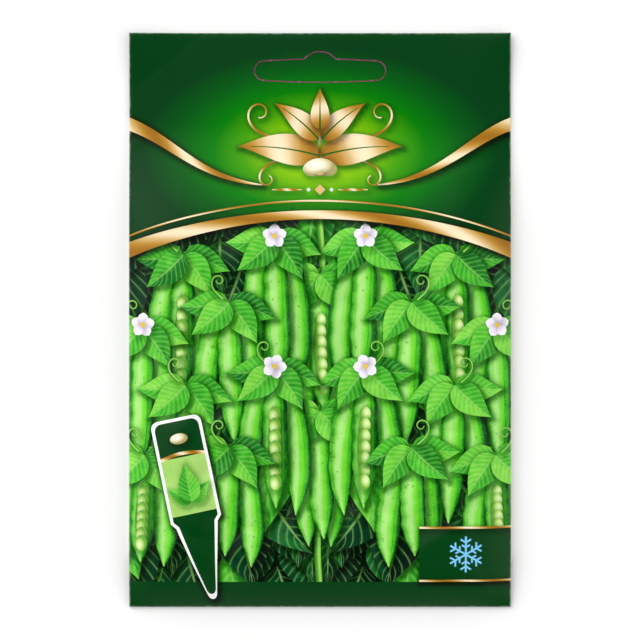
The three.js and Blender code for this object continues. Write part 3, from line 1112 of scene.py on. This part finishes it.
def header_ink(tree, place, u, v, tint):
    """Dark green with a wide yellow-green glow behind the ornament."""
    glow_y, glow_half_width, glow_half_height = 41, 43, 25
    reach = {"Location": (0, glow_y * MM, 0), "Scale": (glow_half_width * MM, glow_half_height * MM, 1)}
    centred = node(tree, "Mapping", place, named=reach, vector_type="TEXTURE")[0]
    away = node(tree, "VectorMath", centred, operation="LENGTH")[1]
    return node(
        tree, "ValToRGB", away,
        stops=[
            (0.0, "#a4d800"), (0.24, "#8cc800"), (0.44, "#429e00"), (0.6, "#007c00"),
            (0.8, "#005a12"), (1.0, "#003e14"),
        ],
    )[0]


def gold_ink(stretches):
    """Gold print, brightest in the middle of each shape and again every stretch along it."""

    def colour_of(tree, place, u, v, tint):
        turns = node(tree, "Math", u, 0.05, v, operation="MULTIPLY_ADD")[0]
        from_middle = node(tree, "Math", turns, 0.5, operation="SUBTRACT")[0]
        angle = node(tree, "Math", from_middle, 2 * math.pi * stretches, operation="MULTIPLY")[0]
        wave = node(tree, "Math", angle, operation="COSINE")[0]
        level = node(tree, "MapRange", wave, -1.0, 1.0, 0.0, 1.0)[0]
        return node(
            tree, "ValToRGB", level,
            stops=[(0.0, "#a06c18"), (0.35, "#bd8c34"), (0.7, "#dbb778"), (1.0, "#fde8c2")],
        )[0]

    return colour_of


def flat_ink(first, second):
    """An even ink, with the slight unevenness of print."""

    def colour_of(tree, place, u, v, tint):
        cloud = node(tree, "TexNoise", named={"Vector": place, "Scale": every(11), "Detail": 2.0})[0]
        uneven = {UNDER: paint(first), OVER: paint(second)}
        return node(tree, "Mix", cloud, named=uneven, data_type="RGBA")[MIXED]

    return colour_of


IVORY = [(0.0, "#fffdf2"), (0.5, "#f3edcf"), (0.85, "#cfc48e"), (1.0, "#a8a068")]
FRESH_GREEN = [(0.0, "#f0fac8"), (0.4, "#cdeb92"), (0.8, "#93c452"), (1.0, "#6aa63c")]
POD_LINING = [(0.0, "#4f9c2c"), (0.25, "#9bd060"), (0.5, "#c0e488"), (0.8, "#8cc452"), (1.0, "#3f8a24")]
PETAL = [(0.1, "#c8b6dc"), (0.5, "#f2ecf8"), (1.0, "#ffffff")]
STEM = [(0.0, "#5fae34"), (0.3, "#a8dc6a"), (0.6, "#58a830"), (1.0, "#1f6a1c")]


def make_inks():
    """Every ink by its key. Those of the picture fall into green shade, and the others into grey."""
    leaf = leaf_ink("#10701f", "#4abc2e", "#98e656")
    leaf_dark = leaf_ink("#001c10", "#033f20", "#2c8a3c")
    return {
        "ground": print_on_paper("ink_deep_shade", ground_ink, GREEN_SHADE),
        "leaf": print_on_paper("ink_leaf_green", leaf, GREEN_SHADE),
        "leaf_dark": print_on_paper("ink_leaf_blue_green", leaf_dark, GREEN_SHADE),
        "pod": print_on_paper("ink_pod_green", pod_ink, GREEN_SHADE),
        "pod_inside": print_on_paper("ink_pod_lining", ramp_ink(POD_LINING, "u"), GREEN_SHADE),
        "bean": print_on_paper("ink_bean_ivory", bean_ink(IVORY)),
        "bean_fresh": print_on_paper("ink_bean_fresh", bean_ink(FRESH_GREEN), GREEN_SHADE),
        "petal": print_on_paper("ink_petal_white", ramp_ink(PETAL)),
        "eye": print_on_paper("ink_blossom_eye", flat_ink("#d8b830", "#e8cc50")),
        "stem": print_on_paper("ink_stem_green", ramp_ink(STEM, "u"), GREEN_SHADE),
        "header": print_on_paper("ink_header_glow", header_ink, GREEN_SHADE),
        "header_dark": print_on_paper("ink_header_dark", flat_ink("#0a5a14", "#0f6a18")),
        "dark_green": print_on_paper("ink_dark_green", flat_ink("#003c10", "#004414")),
        "gold": print_on_paper("ink_gold", gold_ink(1.0)),
        "gold_band": print_on_paper("ink_gold_band", gold_ink(3.0)),
        "gold_line": print_on_paper("ink_gold_lines", gold_ink(2.0)),
        "white": print_on_paper("paper_white", flat_ink("#f6f7f2", "#fdfdfb")),
        "ice": print_on_paper("ink_ice_blue", flat_ink("#7ac8f6", "#86d0fa")),
        "cut": print_on_paper("ink_plum_cut", flat_ink("#c05090", "#cc5c9c")),
        "bridge": print_on_paper("ink_plum_line", flat_ink("#9a3c72", "#a84a80")),
        "cream": print_on_paper("ink_back_cream", flat_ink("#e2e9cd", "#e9efd8")),
    }


def seed_coat():
    """A dry bean seed: a smooth, hard, waxy coat, so a small sharp highlight over warm ivory."""
    material, tree, place = start_material("bean_seed_coat")
    cloud = node(tree, "TexNoise", named={"Vector": place, "Scale": every(2.6), "Detail": 4.0})[0]
    colour = node(tree, "ValToRGB", cloud, stops=[(0.3, "#d9cda6"), (0.55, "#efe7cd"), (0.8, "#f8f3e2")])[0]
    wrinkle = node(tree, "TexNoise", named={"Vector": place, "Scale": every(0.65), "Detail": 3.0})[0]
    normal = node(tree, "Bump", named={"Strength": 0.15, "Distance": 0.1 * MM, "Height": wrinkle})[0]
    waxy = {
        "Base Color": colour, "Roughness": 0.3, "Normal": normal,
        "Subsurface Weight": 0.1, "Subsurface Scale": 1 * MM,
    }
    node(tree, "OutputMaterial", node(tree, "BsdfPrincipled", named=waxy)[0])
    return material


def label_plastic():
    """Punched polystyrene sheet: white, satin, with a fine even grain."""
    material, tree, place = start_material("white_polystyrene_sheet")
    grain = node(tree, "TexNoise", named={"Vector": place, "Scale": every(0.4), "Detail": 2.0})[0]
    whites = {UNDER: paint("#eeefea"), OVER: paint("#f7f8f4")}
    colour = node(tree, "Mix", grain, named=whites, data_type="RGBA")[MIXED]
    normal = node(tree, "Bump", named={"Strength": 0.1, "Distance": 0.03 * MM, "Height": grain})[0]
    satin = {"Base Color": colour, "Roughness": 0.45, "Normal": normal}
    node(tree, "OutputMaterial", node(tree, "BsdfPrincipled", named=satin)[0])
    return material


# The setting: camera, light and table.

PICTURE_SIDE = 640
PACKET_PIXELS_WIDE = 382.8
LENS_MM = 150.0
SENSOR_MM = 36.0


def add_camera():
    """Straight above the packet, as far off as puts it in the frame at the photograph's size."""
    view_width = WIDTH * MM * PICTURE_SIDE / PACKET_PIXELS_WIDE
    data = bpy.data.cameras.new("camera")
    data.lens, data.sensor_width = LENS_MM, SENSOR_MM
    data.clip_start, data.clip_end = 0.01, 10
    camera = bpy.data.objects.new("camera", data)
    camera.location = (0, 0, view_width * LENS_MM / SENSOR_MM + 3 * MM)
    bpy.context.scene.collection.objects.link(camera)
    bpy.context.scene.camera = camera


def add_soft_light(name, come_from, irradiance):
    """Even light from one side, as from a large softbox far off."""
    data = bpy.data.lights.new(name, "SUN")
    data.energy = irradiance
    data.angle = math.radians(70)
    lamp = bpy.data.objects.new(name, data)
    lamp.rotation_euler = (-Vector(come_from)).to_track_quat("-Z", "Y").to_euler()
    bpy.context.scene.collection.objects.link(lamp)


def add_studio_world():
    """Pale walls under a dark ceiling, so that the flat print facing the camera keeps its colours."""
    world = bpy.data.worlds.new("studio")
    world.use_nodes = True
    tree = world.node_tree
    tree.nodes.clear()
    way = node(tree, "TexCoord")["Generated"]
    up = node(tree, "SeparateXYZ", way)[2]
    greys = [(0.0, "#ffffff"), (0.5, "#f0f0f0"), (0.8, "#303030"), (1.0, "#080808")]
    dome = node(tree, "ValToRGB", up, stops=greys)[0]
    node(tree, "OutputWorld", node(tree, "Background", dome, 0.85)[0])
    bpy.context.scene.world = world


def add_table():
    """A pale, matt table just under the packet."""
    bpy.ops.mesh.primitive_plane_add(size=12, location=(0, 0, -0.02 * MM))
    table = bpy.context.object
    table.name = "pale_table"
    material, tree, place = start_material("pale_table")
    cloud = node(tree, "TexNoise", named={"Vector": place, "Scale": every(120)})[0]
    whites = {UNDER: paint("#fafaf9"), OVER: paint("#fdfdfd")}
    colour = node(tree, "Mix", cloud, named=whites, data_type="RGBA")[MIXED]
    matt = {"Base Color": colour, "Roughness": 0.9, "Specular IOR Level": 0.1}
    node(tree, "OutputMaterial", node(tree, "BsdfPrincipled", named=matt)[0])
    table.data.materials.append(material)


def add_setting():
    """The camera, the pale studio with its two lights, and the table."""
    add_camera()
    add_studio_world()
    add_table()
    add_soft_light("key", (-0.55, 0.55, 0.72), 2.5)
    add_soft_light("fill", (0.8, -0.2, 0.6), 1.0)
    bpy.context.scene.view_settings.view_transform = "Standard"


add_setting()

inks = make_inks()
front_side = printed_side(front_shapes(), FRONT_SPACING, front_height)
back_side = printed_side(back_shapes(sheet_ring(front_side)), BACK_SPACING, back_height)
bag = bag_mesh("printed_bag", (front_side, back_side), inks)
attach(bag, "root")
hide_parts("packet_paper")

seed_material = seed_coat()
label_material = label_plastic()
for node_name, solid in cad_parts.items():
    if node_name.startswith("seed_"):
        solid.data.materials.clear()
        solid.data.materials.append(seed_material)
    elif node_name == "plant_label":
        solid.data.materials.clear()
        solid.data.materials.append(label_material)
